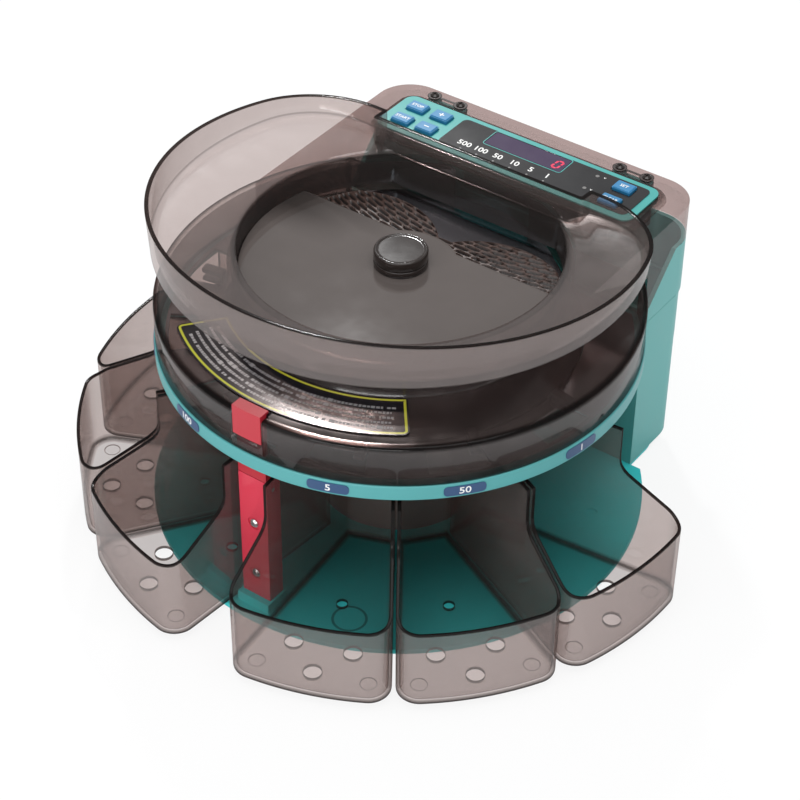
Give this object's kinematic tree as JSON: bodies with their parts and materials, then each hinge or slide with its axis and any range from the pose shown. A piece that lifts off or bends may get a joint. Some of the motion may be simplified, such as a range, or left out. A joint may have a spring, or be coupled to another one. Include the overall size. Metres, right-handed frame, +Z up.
{
  "type": "coin sorting machine",
  "caption": "Table-top coin sorter with a translucent hopper over a spinning disc, a hinged lid with a key panel, and wedge bins under a round deck.",
  "frame": {"origin": "on the disc's axis at the table, under the central foot", "axes": "+X to the machine's right, +Y to its back, +Z up; the latch and the bins face -Y"},
  "size_m": [0.404, 0.3687, 0.2295],
  "materials": {
    "smoke": "polished translucent smoke brown",
    "teal": "fine satin mould texture",
    "bezel": "satin",
    "panel_black": "satin printed film",
    "red": "satin",
    "key_blue": "satin",
    "navy": "printed plate",
    "label": "gloss printed film",
    "display": "tinted window over a lit display",
    "knob": "polished",
    "steel": "brushed",
    "disc_steel": "polished by coins",
    "zinc": "plated",
    "cast": "satin",
    "bronze": "sintered bronze",
    "gear_nylon": "natural nylon",
    "rubber": "matt",
    "pad_rubber": "moulded block texture",
    "board_green": "solder-masked board",
    "black_plastic": "satin",
    "rail": "dark satin plate"
  },
  "bodies": {
    "base": {"base_plate": "teal", "rubber_feet": "rubber", "lower_housing": "teal", "sorting_deck": "teal", "centre_column": "cast", "latch_post": "red", "post_screws": "zinc", "latch_pin": "steel", "latch_spring": "steel", "sort_rail": "rail", "coin_slide": "black_plastic", "coin_sensors": "black_plastic", "number_plates": "navy", "gearmotor": "cast", "motor_bracket": "steel", "spindle_bearing": "bronze", "hinge_pins": "steel", "power_inlet": "black_plastic", "power_board": "board_green", "base_screws": "zinc", "switch_frame": "black_plastic"},
    "lid": {"sorter_cover": "smoke", "rear_cover": "smoke", "hopper": "smoke", "coin_guard": "smoke", "guard_knob": "knob", "upper_housing": "teal", "panel_bezel": "bezel", "panel_face": "panel_black", "display_window": "display", "control_board": "board_green", "label_plate": "label", "cover_screws": "black_plastic"},
    "disc": {"rotor_disc": "disc_steel", "rubber_pads": "pad_rubber", "spindle": "steel", "drive_gear": "gear_nylon"},
    "pinion": {"motor_pinion": "bronze"},
    "latch": {"latch_hook": "red"},
    "rocker": {"power_switch": "black_plastic"},
    "bin_100": {"bin_100": "smoke"},
    "bin_5": {"bin_5": "smoke"},
    "bin_10": {"bin_10": "smoke"},
    "bin_50": {"bin_50": "smoke"},
    "bin_500": {"bin_500": "smoke"},
    "bin_1": {"bin_1": "smoke"},
    "key_stop": {"key_stop": "key_blue"},
    "key_start": {"key_start": "key_blue"},
    "key_plus": {"key_plus": "key_blue"},
    "key_minus": {"key_minus": "key_blue"},
    "key_set": {"key_set": "key_blue"},
    "key_clear": {"key_clear": "key_blue"}
  },
  "joints": [
    {"name": "lid_hinge", "type": "hinge", "parent": "base", "child": "lid", "pos_m": [0, 0.1656, 0.11945], "axis": [-1, 0, 0], "range_deg": [0, 60]},
    {"name": "disc_spin", "type": "hinge", "parent": "base", "child": "disc", "pos_m": [0, 0, 0.16], "axis": [0, 0, 1], "continuous": true},
    {"name": "pinion_spin", "type": "hinge", "parent": "base", "child": "pinion", "pos_m": [0, 0.036, 0.097], "axis": [0, 0, 1], "continuous": true},
    {"name": "latch_pivot", "type": "hinge", "parent": "base", "child": "latch", "pos_m": [0, -0.1392, 0.098], "axis": [-1, 0, 0], "range_deg": [0, 4], "stiffness_Nm_per_rad": 0.5, "springref_deg": -2.86},
    {"name": "rocker_tilt", "type": "hinge", "parent": "base", "child": "rocker", "pos_m": [-0.034, 0.142, 0.052], "axis": [1, 0, 0], "range_deg": [0, 16]},
    {"name": "bin_100_slide", "type": "slide", "parent": "base", "child": "bin_100", "axis": [-0.342, -0.9397, 0], "range_m": [0, 0.09]},
    {"name": "bin_5_slide", "type": "slide", "parent": "base", "child": "bin_5", "axis": [0.342, -0.9397, 0], "range_m": [0, 0.09]},
    {"name": "bin_10_slide", "type": "slide", "parent": "base", "child": "bin_10", "axis": [-0.766, -0.6428, 0], "range_m": [0, 0.09]},
    {"name": "bin_50_slide", "type": "slide", "parent": "base", "child": "bin_50", "axis": [0.766, -0.6428, 0], "range_m": [0, 0.09]},
    {"name": "bin_500_slide", "type": "slide", "parent": "base", "child": "bin_500", "axis": [-0.9848, -0.1736, 0], "range_m": [0, 0.09]},
    {"name": "bin_1_slide", "type": "slide", "parent": "base", "child": "bin_1", "axis": [0.9848, -0.1736, 0], "range_m": [0, 0.09]},
    {"name": "key_stop_press", "type": "slide", "parent": "lid", "child": "key_stop", "axis": [0, 0, -1], "range_m": [0, 0.0012], "stiffness_N_per_m": 400, "springref_m": -0.0002},
    {"name": "key_start_press", "type": "slide", "parent": "lid", "child": "key_start", "axis": [0, 0, -1], "range_m": [0, 0.0012], "stiffness_N_per_m": 400, "springref_m": -0.0002},
    {"name": "key_plus_press", "type": "slide", "parent": "lid", "child": "key_plus", "axis": [0, 0, -1], "range_m": [0, 0.0012], "stiffness_N_per_m": 400, "springref_m": -0.0002},
    {"name": "key_minus_press", "type": "slide", "parent": "lid", "child": "key_minus", "axis": [0, 0, -1], "range_m": [0, 0.0012], "stiffness_N_per_m": 400, "springref_m": -0.0002},
    {"name": "key_set_press", "type": "slide", "parent": "lid", "child": "key_set", "axis": [0, 0, -1], "range_m": [0, 0.0012], "stiffness_N_per_m": 400, "springref_m": -0.0002},
    {"name": "key_clear_press", "type": "slide", "parent": "lid", "child": "key_clear", "axis": [0, 0, -1], "range_m": [0, 0.0012], "stiffness_N_per_m": 400, "springref_m": -0.0002}
  ],
  "couplings": [
    {"joint": "pinion_spin", "follows": "disc_spin", "ratio": -4}
  ]
}
